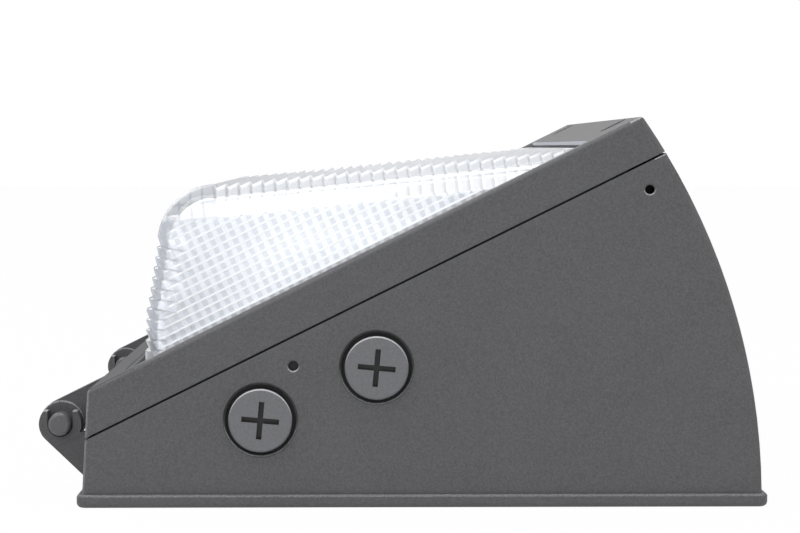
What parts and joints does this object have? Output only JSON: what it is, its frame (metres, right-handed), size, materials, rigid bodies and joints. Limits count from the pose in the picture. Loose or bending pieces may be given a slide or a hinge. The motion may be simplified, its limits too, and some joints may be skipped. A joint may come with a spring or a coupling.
{
  "type": "wall pack light",
  "caption": "Wall-mounted outdoor light: a die-cast wedge-shaped housing with a hinged door frame, a ribbed glass refractor, LED board and driver inside, and plugged conduit entries.",
  "frame": {"origin": "centre of the back face, which lies on the wall, on the axis of the rear cable entry", "axes": "+X up the wall from the hinge to the curved top, +Y across the light, +Z out from the wall; the light lies on its back, as in the picture"},
  "size_m": [0.2332, 0.282, 0.1223],
  "materials": {
    "casting": "fine textured grey powder coat on die-cast aluminium",
    "plug_casting": "smooth lighter grey coat on a cast plug",
    "plated_steel": "zinc plated",
    "spring_steel": "dark spring steel",
    "silicone": "grey-white silicone",
    "borosilicate_glass": "clear pressed glass",
    "white_steel": "gloss white enamel on folded steel",
    "white_board": "white solder mask",
    "led_package": "white package with a yellow lens",
    "white_plastic": "moulded",
    "driver_steel": "galvanised sheet",
    "green_board": "green solder mask",
    "dark_components": "moulded cases",
    "cap_plastic": "ribbed moulding",
    "tinned_copper": "tinned",
    "green_screw": "green",
    "black_wire": "insulated wire",
    "white_wire": "insulated wire",
    "green_wire": "insulated wire",
    "red_wire": "insulated wire"
  },
  "bodies": {
    "casing": {"board_connector": "white_plastic", "board_screws": "plated_steel", "conduit_plugs": "plug_casting", "driver_case": "driver_steel", "driver_circuit": "green_board", "driver_components": "dark_components", "driver_lid": "driver_steel", "driver_screws": "plated_steel", "earth_lead": "green_wire", "earth_screw": "green_screw", "earth_terminal": "tinned_copper", "gear_tray": "white_steel", "housing": "casting", "led_board": "white_board", "led_lead_black": "black_wire", "led_lead_red": "red_wire", "leds": "led_package", "plug_seals": "silicone", "supply_lead_black": "black_wire", "supply_lead_white": "white_wire", "tray_grommet": "silicone", "tray_screws": "plated_steel", "wire_connectors": "cap_plastic"},
    "door": {"door_frame": "casting", "hinge_pins": "plated_steel", "glass_lens": "borosilicate_glass", "lens_gasket": "silicone", "lens_strip": "plated_steel", "strip_screws": "plated_steel", "door_gasket": "silicone"},
    "ring_near": {"screw_ring_near": "spring_steel"},
    "ring_far": {"screw_ring_far": "spring_steel"},
    "screw_near": {"door_screw_near": "plated_steel"},
    "screw_far": {"door_screw_far": "plated_steel"}
  },
  "joints": [
    {"name": "door_hinge", "type": "hinge", "parent": "casing", "child": "door", "pos_m": [-0.11752, 0, 0.02269], "axis": [0, -1, 0], "range_deg": [0, 110]},
    {"name": "screw_near_slide", "type": "slide", "parent": "door", "child": "ring_near", "axis": [-0.4431, 0, 0.8965], "range_m": [0, 0.004]},
    {"name": "screw_near_turn", "type": "hinge", "parent": "ring_near", "child": "screw_near", "pos_m": [0.06287, -0.1025, 0.11988], "axis": [-0.4431, 0, 0.8965], "range_deg": [0, 1800]},
    {"name": "screw_far_slide", "type": "slide", "parent": "door", "child": "ring_far", "axis": [-0.4431, 0, 0.8965], "range_m": [0, 0.004]},
    {"name": "screw_far_turn", "type": "hinge", "parent": "ring_far", "child": "screw_far", "pos_m": [0.06287, 0.1025, 0.11988], "axis": [-0.4431, 0, 0.8965], "range_deg": [0, 1800]}
  ],
  "couplings": [
    {"joint": "screw_near_turn", "follows": "screw_near_slide", "rad_per_m": 7853.9},
    {"joint": "screw_far_turn", "follows": "screw_far_slide", "rad_per_m": 7853.9}
  ]
}
